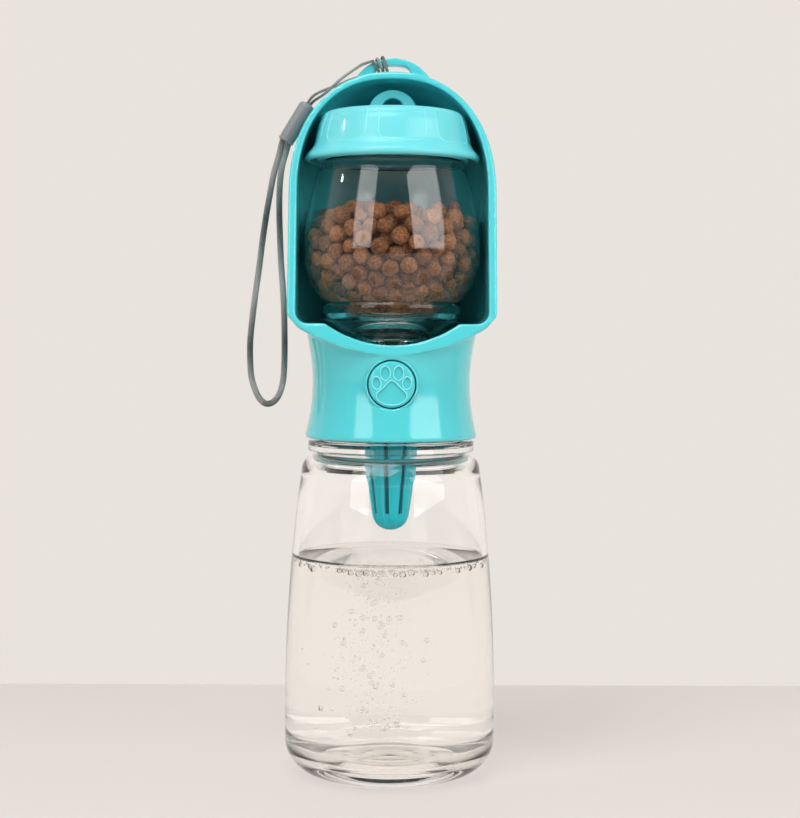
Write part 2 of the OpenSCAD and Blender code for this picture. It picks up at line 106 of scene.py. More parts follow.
# %% [markdown]
# ## The lanyard's lines
#
# A thin cord is hitched round the left end of the carry loop and runs down to a
# sleeve, and a thicker braided cord hangs from the sleeve as an open loop. Cords
# are best drawn as one smooth line first and thickened afterwards. The points
# are the same as the CAD model's, but for the thick cord's two ends, which reach
# further into the sleeve. A Catmull-Rom curve rounds them off. The turns round
# the loop come from a formula: a squarish ring that walks along the loop's bow
# as it goes round.

# %% Routes of both cords
LOOP_Z, LOOP_BOW, LOOP_Y = 239.6, 14.4, 3.5
TURN_OUT, TURN_DEEP = 2.2, 3.3


def smooth_line(points, steps):
    """A Catmull-Rom curve through the points, with that many steps between two of them."""
    found = []
    for i in range(len(points) - 1):
        a, b = points[max(i - 1, 0)], points[i]
        c, d = points[i + 1], points[min(i + 2, len(points) - 1)]
        for k in range(steps):
            t = k / steps
            bend = (c - a) * t + (2 * a - 5 * b + 4 * c - d) * t**2 + (3 * b - a - 3 * c + d) * t**3
            found.append(0.5 * (2 * b + bend))
    return found + [points[-1]]


def line_length(points):
    return sum((b - a).length for a, b in zip(points, points[1:]))


def cube_root(v):
    return math.copysign(abs(v) ** (1 / 3), v)


def turn_point(t):
    """A point of the hitch, t degrees into its turns."""
    c, s = math.cos(math.radians(t)), math.sin(math.radians(t))
    out = LOOP_BOW + TURN_OUT * cube_root(c)
    lean = math.radians(27.5 - 6.9 * t / 360)
    return (-out * math.sin(lean), LOOP_Y - TURN_DEEP * cube_root(s), LOOP_Z + out * math.cos(lean))


hitch_up = [
    (-29.4, 0.6, 238.6), (-28.2, 0.8, 240), (-26.4, 0.8, 241.2), (-24.2, 0.6, 242.7), (-21.6, 0.2, 245),
    (-18.4, -0.2, 247.8), (-15, -0.3, 250.3), (-12.6, -0.3, 251.9), (-10.8, -0.1, 253),
]
hitch_back = [
    (-3.4, 7.9, 253.8), (-5.6, 8.1, 252.9), (-8, 7.9, 251.7), (-10.4, 7.5, 250.3), (-13.2, 7, 249.3),
    (-15.8, 6.1, 248.2), (-18.4, 4.8, 246.9), (-21.1, 3.2, 245.5), (-23.8, 1.8, 244.3), (-27, 0.6, 242.7),
    (-29, -0.2, 241), (-30, -0.7, 239.4), (-30.4, -0.8, 238.4),
]
hitch_turns = [turn_point(t) for t in range(40, 961, 20)]
wrist_route = [
    (-38.3, 0, 227.6), (-39.4, 0, 225), (-40.6, 0, 220), (-42.3, 0, 214), (-43.8, 0, 206), (-45, 0, 199),
    (-46.3, 0, 190), (-47.4, 0, 181), (-48.8, 0, 171), (-50, 0, 161), (-50.6, 0, 154), (-50.6, 0, 148),
    (-50.2, 0, 142), (-49, 0, 137.5), (-47.2, 0, 133.8), (-45, 0, 132), (-42.8, 0, 132.3), (-40.8, 0, 134.2),
    (-39.4, 0, 137.5), (-38.6, 0, 142), (-38.3, 0, 149), (-38.3, 0, 156), (-38.5, 0, 165), (-39, 0, 174),
    (-39.6, 0, 182), (-40, 0, 191), (-40.3, 0, 200), (-40.2, 0, 209), (-39.5, 0, 216), (-38.2, 0, 221),
    (-37, 0, 225), (-36.3, 0, 226.4),
]
hitch_line = smooth_line([Vector(p) * MM for p in hitch_up + hitch_turns + hitch_back], 3)
wrist_line = smooth_line([Vector(p) * MM for p in wrist_route], 6)
print("thin cord %.0f mm, wrist cord %.0f mm" % (line_length(hitch_line) / MM, line_length(wrist_line) / MM))

# %% [markdown]
# ## From a mesh in the making to a finished piece
#
# Every piece ends the same way: doubled points are merged, the faces are turned
# outwards, curved surfaces are shaded smooth while real corners stay crisp, and
# the piece is told which moving body it rides on. One helper does all of that,
# so that no piece forgets a step.

# %% Helpers that finish a piece
DOUBLES = 1e-6


def finished(bm, name, body, slot, replaces=(), crease=32, recalc=True):
    """The bmesh as a finished piece. A vessel with bubbles keeps its faces as they are turned."""
    bmesh.ops.remove_doubles(bm, verts=bm.verts, dist=DOUBLES)
    if recalc:
        bmesh.ops.recalc_face_normals(bm, faces=bm.faces)
    mesh = bpy.data.meshes.new(name)
    bm.to_mesh(mesh)
    bm.free()
    return settled(placed(mesh, name), body, slot, replaces, crease)


def settled(piece, body, slot, replaces=(), crease=32):
    """Shades the piece, tells it its body and its slot, and hides the CAD nodes that it stands for."""
    piece.data.shade_smooth()
    piece.data.set_sharp_from_angle(angle=math.radians(crease))
    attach(piece, body)
    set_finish(piece, slot)
    if replaces:
        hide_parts(*replaces)
    print(piece.name, len(piece.data.polygons), "faces")
    return piece


# %% [markdown]
# ## Turning
#
# Most of this object is turned: bottle, cup, lid, sleeve and button are outlines
# spun round an axis, as on a lathe. The outline is a row of (radius, height)
# points. Its corners are rounded first, because no moulded edge is perfectly
# sharp, and the small radii are what catches the light.

# %% Helpers for turned pieces
def soften(points, radius, closed=False, least=22):
    """The outline with its corners rounded off, as far as their neighbours leave room."""
    flat = [Vector(p) for i, p in enumerate(points) if i == 0 or math.dist(p, points[i - 1]) > 1e-4]
    found = []
    for i, b in enumerate(flat):
        if not closed and i in (0, len(flat) - 1):
            found.append(b)
            continue
        a, c = flat[i - 1], flat[(i + 1) % len(flat)]
        back, on = (a - b), (c - b)
        turn = math.pi - back.angle(on)
        if turn < math.radians(least):
            found.append(b)
            continue
        reach = min(radius * math.tan(turn / 2), 0.45 * back.length, 0.45 * on.length)
        start, end = b + back.normalized() * reach, b + on.normalized() * reach
        for k in range(5):
            t = k / 4
            found.append(start * (1 - t) ** 2 + b * 2 * t * (1 - t) + end * t * t)
    return [tuple(p) for p in found]


def turned(outline, steps=160, closed=False):
    """A new bmesh with the outline spun round Z. An open outline begins and ends on the axis."""
    bm = bmesh.new()
    dots = [bm.verts.new((r * MM, 0, z * MM)) for r, z in outline]
    lines = [bm.edges.new(pair) for pair in zip(dots, dots[1:])]
    if closed:
        lines.append(bm.edges.new((dots[-1], dots[0])))
    bmesh.ops.spin(bm, geom=dots + lines, cent=(0, 0, 0), axis=(0, 0, 1), angle=math.tau,
                   steps=steps, use_merge=True)
    bmesh.ops.remove_doubles(bm, verts=bm.verts, dist=DOUBLES)
    return bm


def ellipse(r, z, a, b, n, start=0, end=90):
    """Part of an ellipse about (r, z)."""
    return [(r + a * math.cos(t), z + b * math.sin(t))
            for t in (math.radians(start + (end - start) * i / n) for i in range(n + 1))]


# %% [markdown]
# ## The bottle
#
# The real bottle is injection moulded from clear plastic in one piece: a thick
# base with a pushed-in punt, a body that draws in slowly towards the shoulder, a
# deep groove, a flange ring and a short threaded neck. For glass and clear
# plastic the wall needs both its skins, because light bends at each of them, so
# the outline runs up the outside and down the inside before it is spun.

# %% Bottle
BOTTLE_R, BOTTLE_WALL = 37.75, 2.2
NECK_R, NECK_BORE, NECK_TOP = 24.5, 22.3, 128.4


def body_radius(z):
    """The bottle's outer radius at height z, between the base and the shoulder."""
    return BOTTLE_R if z < 20 else BOTTLE_R - 5.75 * ((z - 20) / 88.3) ** 2.15


punt = [(0, 6.1), (4, 5.9), (6.4, 5.2), (7.4, 4.4), (10.4, 4.3), (11.4, 4), (12.4, 3.1), (15.4, 2.9),
        (17, 2.5), (18.6, 1.4), (20.4, 0.6), (22.6, 0)]
outside = ellipse(25.75, 12, 12, 12, 14, -90, 0) + [(body_radius(z), z) for z in range(16, 108, 4)]
outside += ellipse(26.5, 108.3, 5.5, 6.3, 12)
outside += [(26.5, 115.5), (29.65, 115.5), (29.65, 119.1), (NECK_R, 119.1), (NECK_R, NECK_TOP)]
inside = [(NECK_BORE, NECK_TOP), (NECK_BORE, 120.6), (22.9, 119), (24.1, 117.2), (24.3, 113.4), (24.9, 112.6)]
inside += ellipse(25.6, 105.4, 4.9, 6.9, 14)[::-1]
inside += [(body_radius(z) - BOTTLE_WALL, z) for z in range(101, 16, -4)]
inside += ellipse(26.55, 16, 9, 9, 12, -90, 0)[::-1] + [(20, 7.5), (15, 8.8), (9, 10.1), (0, 10.6)]
bottle_bm = turned(soften(punt, 0.9, least=12) + soften(outside + inside, 0.5, least=24)[1:], 192)
print("bottle outline has", len(outside) + len(inside), "points")

# %% [markdown]
# The neck's thread is a ridge that climbs as it goes round. Spinning a small
# blunt wedge with a lift on every step draws it: the same operator as before, but
# with a vector that moves each step up a little. It sinks a tenth of a
# millimetre into the neck, so that it grows out of the wall.

# %% Neck thread
def helix_ridge(bm, radius, depth, height, z, turns, pitch, steps=96):
    """A wedge-shaped ridge wound round a neck, added to bm."""
    section = [(-0.1, -height / 2), (depth, -height * 0.12), (depth, height * 0.12), (-0.1, height / 2)]
    face = bm.faces.new([bm.verts.new(((radius + dx) * MM, 0, (z + dz) * MM)) for dx, dz in section])
    bmesh.ops.spin(bm, geom=[face], cent=(0, 0, 0), axis=(0, 0, 1), dvec=(0, 0, pitch * turns / steps * MM),
                   angle=math.tau * turns, steps=steps, use_merge=False)


helix_ridge(bottle_bm, NECK_R, 0.7, 1.6, 121.4, 1.5, 3.2)
finished(bottle_bm, "bottle", "bottle", "clear_shell", ["water_bottle"])

# %% [markdown]
# ## The water and its bubbles
#
# Water has a body of its own, a hair's breadth larger than the room inside the
# bottle, so that no film of air is left between the two. Its top curls up where
# it meets the wall. A bubble is a hole in the water: a small ball whose faces
# look inwards, so that light leaves the water there as it does at a real bubble.

# %% Water
WATER_Z, WATER_IN = 77, 2.1
edge_r = body_radius(WATER_Z) - WATER_IN
curl = [(0, 1.5), (0.3, 1.0), (0.8, 0.5), (1.8, 0.15), (3.2, 0)]
fill = [(0, 10.5), (9, 10), (15, 8.7), (20, 7.4)] + ellipse(26.65, 16, 9, 9.1, 12, -90, 0)
fill += [(body_radius(z) - WATER_IN, z) for z in range(18, 76, 4)]
fill += [(edge_r - back, WATER_Z + rise) for back, rise in curl] + [(r, WATER_Z) for r in (20, 10, 0)]
water_bm = turned(fill, 128)
bmesh.ops.recalc_face_normals(water_bm, faces=water_bm.faces)
print("water stands", WATER_Z, "mm high")

# %% [markdown]
# Bubbles rise in a loose column, float at both sides of the surface and gather
# under its front edge. Chance draws them, from a seed, so that every run gives
# the same ones. A place is taken only where it is clear of the wall, of the
# surface and of the bubbles before it.

# %% Bubbles
BUBBLES = 480
rng = random.Random(7)


def at_angle(r, a, z, nearer=0):
    return Vector((r * math.cos(a), r * math.sin(a) - nearer, z))


def bubble_place():
    """The place and the radius of one more bubble."""
    kind = rng.random()
    if kind < 0.12:
        a = math.radians(rng.choice([0, 180]) + rng.gauss(0, 16))
        r = edge_r - 2.4 - abs(rng.gauss(0, 3.2))
        z = WATER_Z - 0.75 - abs(rng.gauss(0, 0.2))
        return at_angle(r, a, z, 3), rng.choice([0.3, 0.4, 0.5, 0.6])
    if kind < 0.68:
        z = 17 + 57 * rng.random() ** 0.85
        x = rng.gauss(-5, 2.6 + 5.4 * (1 - abs(z - 38) / 42))
        y = rng.gauss(-14, 6)
        return Vector((x, y, z)), rng.choice([0.12, 0.14, 0.18, 0.2, 0.24, 0.28, 0.32, 0.4, 0.55, 1.05])
    a = math.radians(rng.gauss(-90, 30))
    if kind < 0.78:
        r = edge_r - 3.2 - abs(rng.gauss(0, 2))
        z = WATER_Z - 1.6 - abs(rng.gauss(0, 0.5))
        return at_angle(r, a, z), rng.choice([0.9, 1.1, 1.3])
    r = edge_r - 1.4 - abs(rng.gauss(0, 1.2))
    z = WATER_Z - 0.6 - abs(rng.gauss(0, 0.4))
    return at_angle(r, a, z), rng.choice([0.2, 0.3, 0.4, 0.5])


bubbles = []
while len(bubbles) < BUBBLES:
    at, size = bubble_place()
    if math.hypot(at.x, at.y) + size > edge_r - 0.4 or at.z + size > WATER_Z - 0.1:
        continue
    if all((at - other).length > size + far + 0.15 for other, far in bubbles):
        bubbles.append((at, size))
for at, size in bubbles:
    ball = bmesh.ops.create_icosphere(water_bm, subdivisions=2, radius=size * MM,
                                      matrix=Matrix.Translation(at * MM))
    bmesh.ops.reverse_faces(water_bm, faces=list({f for v in ball["verts"] for f in v.link_faces}))
water = finished(water_bm, "water", "bottle", "clear_shell", recalc=False, crease=60)

# %% [markdown]
# ## The head
#
# The turquoise head is one moulding: a waist that fits the hand, a skirt below
# it that hides the bottle's neck, and a deep trough whose mouth is cut on a
# slant. A designer builds it as solids that are joined and cut: a turned body,
# the trough's arch drawn forward, minus its hollow, its well and the dip in the
# lip. Blender's Boolean modifier does the same on closed meshes. Afterwards a
# voxel remesh melts the result into one even skin, and a light smoothing rounds
# every edge, as the mould of the real part does.

# %% Helpers for solids
BUTTON_Z = 139.9


def loose(bm, name="tool"):
    """A bmesh as a plain object, for use as a solid or as a cutter."""
    bmesh.ops.remove_doubles(bm, verts=bm.verts, dist=DOUBLES)
    bmesh.ops.recalc_face_normals(bm, faces=bm.faces)
    mesh = bpy.data.meshes.new(name)
    bm.to_mesh(mesh)
    bm.free()
    return placed(mesh, name)


def baked(obj):
    """Applies the modifiers of obj."""
    graph = bpy.context.evaluated_depsgraph_get()
    mesh = bpy.data.meshes.new_from_object(obj.evaluated_get(graph))
    obj.modifiers.clear()
    obj.data = mesh
    return obj


def joined(solid, tool, how="UNION"):
    """Joins tool to solid, or cuts it out with DIFFERENCE, or keeps what both share with INTERSECT."""
    step = solid.modifiers.new(how.lower(), "BOOLEAN")
    step.object, step.operation, step.solver = tool, how, "MANIFOLD"
    baked(solid)
    bpy.data.objects.remove(tool)
    return solid


def cut(solid, tool):
    return joined(solid, tool, "DIFFERENCE")


def melted(obj, voxel, rounds):
    """One even skin over obj, with softened edges."""
    skin = obj.modifiers.new("skin", "REMESH")
    skin.mode, skin.voxel_size = "VOXEL", voxel * MM
    soft = obj.modifiers.new("soft", "SMOOTH")
    soft.factor, soft.iterations = 0.5, rounds
    return baked(obj)


# %% [markdown]
# Four plain solids serve as stock and as cutters: an outline drawn along Y, a
# round bar, a rod along Y and a box that may lean. Each is placed by a matrix,
# so that no object is ever moved afterwards.

# %% Plain solids
def spot(x, y, z):
    """The matrix that moves to a place in millimetres."""
    return Matrix.Translation(Vector((x, y, z)) * MM)


def tipped(degrees, axis="X"):
    return Matrix.Rotation(math.radians(degrees), 4, axis)


def drawn(outline, y0, y1):
    """An outline in (x, z) drawn along Y into a solid."""
    bm = bmesh.new()
    near = bm.faces.new([bm.verts.new((x * MM, y0 * MM, z * MM)) for x, z in outline])
    made = bmesh.ops.extrude_face_region(bm, geom=[near])["geom"]
    far = [v for v in made if isinstance(v, bmesh.types.BMVert)]
    bmesh.ops.translate(bm, vec=(0, (y1 - y0) * MM, 0), verts=far)
    return loose(bm)


def bar(r, length, place, segments):
    """A round bar along the Z of its place, which is its middle."""
    bm = bmesh.new()
    bmesh.ops.create_cone(bm, cap_ends=True, segments=segments, radius1=r * MM, radius2=r * MM,
                          depth=length * MM, matrix=place)
    return loose(bm)


def rod(r, y0, y1, z=BUTTON_Z, segments=96):
    """A round rod along Y."""
    return bar(r, y1 - y0, spot(0, (y0 + y1) / 2, z) @ tipped(90), segments)


def block(low, high, about=(0, 0, 0), lean=0):
    """A box, leant about the X axis through the point about."""
    bm = bmesh.new()
    low, high = Vector(low), Vector(high)
    leant = spot(*about) @ tipped(lean) @ spot(*about).inverted()
    sized = spot(*(low + high) / 2) @ Matrix.Diagonal((*((high - low) * MM), 1))
    bmesh.ops.create_cube(bm, size=1, matrix=leant @ sized)
    return loose(bm)


# %% [markdown]
# The trough's outline is a superellipse above, straight walls at the sides, a
# corner of four millimetres and one wide arc as its chin.

# %% Outlines of the trough
HOOD_Z, CORNER_R = 206, 4
CHIN_Z, CHIN_R = 149.9, 61.6
WAIST_R, WAIST_REACH, SKIRT_Z = 28.2, 18.5, 120
CAVITY_Z = 160.7
AXIS = 1e-12


def arch(a, b, z, power, n):
    """A quarter of a superellipse, from its side up to its top."""
    return [(a * math.cos(t) ** (2 / power), z + b * math.sin(t) ** (2 / power))
            for t in (math.pi / 2 * i / n for i in range(n + 1))]


def waist(z):
    """The waist's radius. It is narrowest at the button's height."""
    return WAIST_R + 2.5 * (abs(z - BUTTON_Z) / WAIST_REACH) ** 1.9


def chin(x):
    """The chin's height at x."""
    return CHIN_Z + CHIN_R - math.sqrt(CHIN_R**2 - x * x)


def both_sides(half):
    """An outline from its right half, which runs from one end on the axis to the other."""
    return half + [(-x, z) for x, z in half[::-1] if abs(x) > 1e-9]


trough_side = [(x, chin(x)) for x in (30.2, 31.4, 32.6)]
trough_side += ellipse(32.2, 165, CORNER_R, CORNER_R, 12, -55, 0) + arch(36.2, 43.5, HOOD_Z, 2.2, 72)
cavity_side = ellipse(29.2, 164.7, CORNER_R, CORNER_R, 12, -90, 0) + arch(33.2, 41, HOOD_Z, 2.35, 72)
print("trough outline has", len(trough_side), "points on a side")

# %% [markdown]
# First the outer body. The turned waist and the back of the trough share one
# outline. The front of the trough is the arch drawn forward, and a wide cone
# trims it to a chin.

# %% Head, outside
waist_side = [(waist(z), z) for z in [SKIRT_Z + 1.2 * i for i in range(31)]]
skirt_edge = [(0, SKIRT_Z), (waist(SKIRT_Z) - 1.2, SKIRT_Z), (waist(SKIRT_Z) - 0.35, SKIRT_Z + 0.35)]
head = loose(turned(skirt_edge + waist_side[1:] + trough_side, 192), "head")
chin_half = [(AXIS, chin(0))] + [(x, chin(x)) for x in range(2, 30, 2)]
front = drawn(both_sides(chin_half + trough_side), 0, -34)
trim = [(0, 147.5), (28.6, 147.5), (28.6 + 1.1 * 110, 147.5 + 110), (0, 147.5 + 110)]
joined(front, loose(turned(trim, 192)), "INTERSECT")
joined(head, front)
cut(head, rod(40, 0.4, 14, 288.3, 256))
print("outer body:", len(head.data.polygons), "faces")

# %% [markdown]
# Then the hollows. From below comes the room for the neck, with four bosses for
# the deck's screws. A leaning block opens the front, and the trough's hollow, the
# well for the cup's spigot and the dip in the lip are cut one after another.

# %% Head, hollows
cut(head, loose(turned([(0, 119), (27, 119), (27, 129.8), (26.1, 129.8), (26.1, 147.2), (0, 147.2)])))
for x in (-13.1, 13.1):
    for y in (-13.1, 13.1):
        joined(head, bar(3, 16, spot(x, y, 139.3), 32))
cut(head, block((-60, -68.2, 130), (60, -28.2, 270), (0, -28.2, 155), -12.5))
cavity = loose(turned([(0, CAVITY_Z)] + cavity_side, 192))
joined(cavity, drawn(both_sides([(AXIS, CAVITY_Z)] + cavity_side), 0, -44))
cut(head, cavity)
well = [(0, 150), (14.2, 150), (15.2, 155.2), (18.4, 156.6), (24.8, 160.8), (24.8, 163), (0, 163)]
cut(head, loose(turned(well)))
dip = bar(39, 70, spot(0, -28.6, 192.8) @ tipped(82), 256)
joined(dip, block((-30, -44, 148), (30, -4, 162.5)), "INTERSECT")
cut(head, dip)
print("hollowed:", len(head.data.polygons), "faces")

# %% [markdown]
# The carry loop stands on the top, a bowed band over a slot with soft corners,
# and the button sits in a round hole with a small collar. The collar is a turned
# ring that is stood up to face the front.

# %% Head, loop and button hole
BUTTON_HOLE = 8.45
band = [(14, 244)] + ellipse(0, LOOP_Z, 16, 16, 40, 30, 150) + [(-14, 244)]
loop = drawn(band, 1, 6)
cut(loop, drawn(both_sides(arch(6.6, 4.6, 248.3, 3, 24)), 0, 7))
joined(loop, block((-20, 0, 246.8), (20, 10, 259)), "INTERSECT")
joined(head, loop)
cut(head, rod(BUTTON_HOLE, -40, -18.7))
melted(head, 0.62, 3)
settled(head, "head", "head_plastic", ["head_shell", "trough_hood"], crease=50)

stand_up = spot(0, 0, BUTTON_Z) @ tipped(-90)
ring = [(BUTTON_HOLE, -26.5), (BUTTON_HOLE, -28.35), (8.9, -28.45), (9.15, -28.3), (9.3, -26.5)]
ring_bm = turned(soften(ring, 0.25, closed=True), 96, closed=True)
bmesh.ops.transform(ring_bm, matrix=stand_up, verts=ring_bm.verts)
finished(ring_bm, "button_collar", "head", "head_plastic")

# %% [markdown]
# ## The push button
#
# The button is a round cap with a bevelled edge and a plain paw in relief: four
# toes and a pad are sunk a little into the face, and a thin raised line runs
# round each. The cap is turned and the hollows are cut. The raised lines are
# closed curves with a round section, half sunk into the face, because a line in
# relief is a bent wire more than a shape with faces.

# %% Outlines of the paw
BUTTON_FACE = -28.9


def toe(x, z, a, b, tilt):
    """A leaning oval with half axes a and b."""
    c, s = math.cos(math.radians(tilt)), math.sin(math.radians(tilt))
    oval = [(a * math.cos(math.tau * i / 40), b * math.sin(math.tau * i / 40)) for i in range(40)]
    return [(x + u * c - v * s, z + u * s + v * c) for u, v in oval]


def drawn_in(outline, by):
    """The outline moved inwards by a small distance."""
    found = []
    for i, (x, z) in enumerate(outline):
        (x0, z0), (x1, z1) = outline[i - 1], outline[(i + 1) % len(outline)]
        side = Vector((z0 - z1, x1 - x0)).normalized() * by
        found.append((x + side.x, z + side.y))
    return found


pad = [(0, 1.4), (-0.9, 1.05), (-1.9, 0.05), (-3.1, -1.2), (-4.5, -2.4), (-5.2, -3.6), (-4.9, -5.1),
       (-3.6, -6.2), (-1.8, -6.8), (0, -7)]
pad_ring = [Vector(p) for p in both_sides(pad)]
pad_line = [tuple(p) for p in smooth_line(pad_ring[-2:] + pad_ring + pad_ring[:2], 4)[8:-9]]
paw_lines = [toe(-5.2, 0.5, 1.5, 2.2, 8), toe(-2.3, 3.85, 1.75, 2.45, 3),
             toe(2.3, 3.85, 1.75, 2.45, -3), toe(5.2, 0.5, 1.5, 2.2, -8), pad_line]
print("paw:", [len(line) for line in paw_lines], "points")

# %% Button cap
cap = [(0, BUTTON_FACE), (6.9, BUTTON_FACE), (7.5, -28.75), (8.02, -28.1), (8.1, -23), (7, -23), (7, -27.1),
       (0, -27.1)]
cap_bm = turned(soften(cap, 0.35, least=12), 128)
bmesh.ops.transform(cap_bm, matrix=stand_up, verts=cap_bm.verts)
button_cap = loose(cap_bm, "button")
for line in paw_lines:
    cut(button_cap, drawn([(x, BUTTON_Z + z) for x, z in drawn_in(line, 0.3)], -30, -28.5))
settled(button_cap, "button", "head_plastic", ["button_cap"], crease=30)


def line_mesh(points, radius, closed=True, fineness=2):
    """A line of round section through points in millimetres, as a mesh with a UV map along it."""
    curve = bpy.data.curves.new("line", "CURVE")
    curve.dimensions, curve.bevel_depth, curve.bevel_resolution = "3D", radius * MM, fineness
    curve.use_fill_caps = True
    spline = curve.splines.new("POLY")
    spline.points.add(len(points) - 1)
    for dot, co in zip(spline.points, points):
        dot.co = (*(Vector(co) * MM), 1)
    spline.use_cyclic_u = closed
    made = placed(curve, "line")
    mesh = bpy.data.meshes.new_from_object(made)
    bpy.data.objects.remove(made)
    return mesh


# These lines later get the ridge finish, whose paler colour is a painted highlight.
paw_bm = bmesh.new()
for line in paw_lines:
    paw_bm.from_mesh(line_mesh([(x, BUTTON_FACE, BUTTON_Z + z) for x, z in line], 0.24))
paw = finished(paw_bm, "button_paw", "button", "head_plastic", crease=60)

# %% [markdown]
# ## The food cup
#
# The cup is a clear bulb with a foot ring and a spigot that stands in the
# trough's well. It is turned like the bottle, with two skins. A ring round the
# spigot lets it snap into its seat.

# %% Food cup
CUP_R, CUP_WALL = 31.8, 1.0
BELLY_Z, BELLY_DEEP = 185.5, 26.6


def bulb(z):
    """The cup's outer radius: part of an ellipse below its belly, a slow taper above."""
    if z < BELLY_Z:
        return CUP_R * math.sqrt(1 - ((BELLY_Z - z) / BELLY_DEEP) ** 2)
    return CUP_R if z < 187 else CUP_R - 5.8 * ((z - 187) / 30) ** 1.6


cup_out = [(0, 160.6), (10.9, 160.6), (9.7, 152.2), (11.5, 152.2), (13.4, 154.4), (13.8, 157), (16.7, 157.3),
           (22.9, 161.1), (24.4, 161.7), (24.9, 162.6), (24.9, 167.2), (24.3, 168.3)]
outer_z = [169.2, 170.2, 171.6, 173.2, 175.2, 177.6, 180, 182.6] + [BELLY_Z + 2.1 * i for i in range(15)]
cup_neck = [(26, 217), (25.2, 217.9), (24.2, 218.1), (24.2, 231), (22.8, 231), (22.8, 219.5)]
cup_in = [(bulb(z) - CUP_WALL, z) for z in [216 - 2.3 * i for i in range(13)]]
cup_in += [(bulb(z) - CUP_WALL, z + 0.5) for z in [184, 182, 180, 177.6, 175.4, 173.4, 171.6, 170]]
cup_floor = [(23.2, 168), (23.2, 164.4), (22.2, 162.9), (17, 162), (10, 161.9), (0, 161.9)]
cup_outline = soften(cup_out, 1.0, least=20) + [(bulb(z), z) for z in outer_z]
cup_outline += soften(cup_neck, 0.6, least=30) + cup_in + cup_floor
cup_bm = turned(cup_outline, 192)
helix_ridge(cup_bm, 13.2, 0.45, 0.8, 154.9, 0.98, 0)
food_cup = finished(cup_bm, "cup", "cup", "clear_shell", ["food_cup"])

# %% [markdown]
# ## The dry food
#
# Some hundreds of small round pellets lie in the cup. Dropping rigid bodies
# would work, but a small relaxation is quicker and gives the same result on
# every run: scatter the centres, let them sink, and push apart those that
# overlap until nearly all of them rest on each other and on the wall. Low down
# the room narrows to a funnel, so that the clear foot stays free of food.

# %% Pellets settle
PELLET, COUNT = 3.05, 690
FOOD_LOW, SINK_STEPS, STILL_STEPS = 162, 200, 60
pile = np.random.default_rng(11)
heights = pile.uniform(165, 214, COUNT)
angles = pile.uniform(0, math.tau, COUNT)
reach = np.sqrt(pile.uniform(0, 1, COUNT)) * 25
centres = np.stack([reach * np.cos(angles), reach * np.sin(angles), heights], 1)
sizes = pile.uniform(0.84, 1.06, COUNT) * PELLET
wall_z = np.array([FOOD_LOW + 0.5 * i for i in range(110)])
wall_r = np.array([bulb(min(z, 214)) - CUP_WALL - 0.05 if z > 170.5 else 14 + max(z - 165, 0) * 1.9
                   for z in wall_z])
for step in range(SINK_STEPS + STILL_STEPS):
    centres[:, 2] -= 0.22 if step < SINK_STEPS else 0.05
    for _ in range(3):
        gap = centres[:, None, :] - centres[None, :, :]
        far = np.linalg.norm(gap, axis=2) + np.eye(len(centres)) * 99
        push = np.clip(sizes[:, None] + sizes[None, :] - far, 0, None)
        centres += 0.27 * (gap / far[:, :, None] * push[:, :, None]).sum(1)
        rim = np.interp(centres[:, 2], wall_z, wall_r) - sizes
        out = np.hypot(centres[:, 0], centres[:, 1])
        scale = np.where(out > rim, rim / np.maximum(out, 1e-6), 1)
        centres[:, 0] *= scale
        centres[:, 1] *= scale
        centres[:, 2] = np.maximum(centres[:, 2], FOOD_LOW + sizes * 0.9)
print("pile is %.1f mm high" % (np.sort(centres[:, 2])[-20:].mean() - FOOD_LOW))

# %% [markdown]
# A real pellet is a fat disc, cut from a rope of dough and puffed up, and most
# of those at the wall lie flat against it. Each one is a small turned disc with
# soft edges, nudged out of true, and a number stored on its points lets the
# material bake every pellet a little lighter or darker. Pellets deep inside the
# pile are left out, since nothing shows them.

# %% One pellet
SIDES = 12
rings = [(-0.72, 0.6), (-0.58, 0.86), (-0.22, 1.0), (0.22, 1.0), (0.58, 0.86), (0.72, 0.6)]
corners = [math.tau * i / SIDES for i in range(SIDES)]
disc = [(x, r * math.cos(a), r * math.sin(a)) for x, r in rings for a in corners]
disc = [(-0.76, 0, 0)] + disc + [(0.76, 0, 0)]
last = len(disc) - 1
disc_faces = [(0, 1 + (i + 1) % SIDES, 1 + i) for i in range(SIDES)]
for low in range(1, 1 + (len(rings) - 1) * SIDES, SIDES):
    disc_faces += [(low + i, low + (i + 1) % SIDES, low + SIDES + (i + 1) % SIDES, low + SIDES + i)
                   for i in range(SIDES)]
disc_faces += [(last, last - SIDES + i, last - SIDES + (i + 1) % SIDES) for i in range(SIDES)]
print("a pellet has", len(disc_faces), "faces")

# %% All pellets
def slope(out, z):
    """How far the wall leans outwards at a pellet, in radians."""
    return math.atan(((BELLY_Z - z) / BELLY_DEEP**2) / (max(out, 1) / 31**2)) if z < BELLY_Z else -0.15


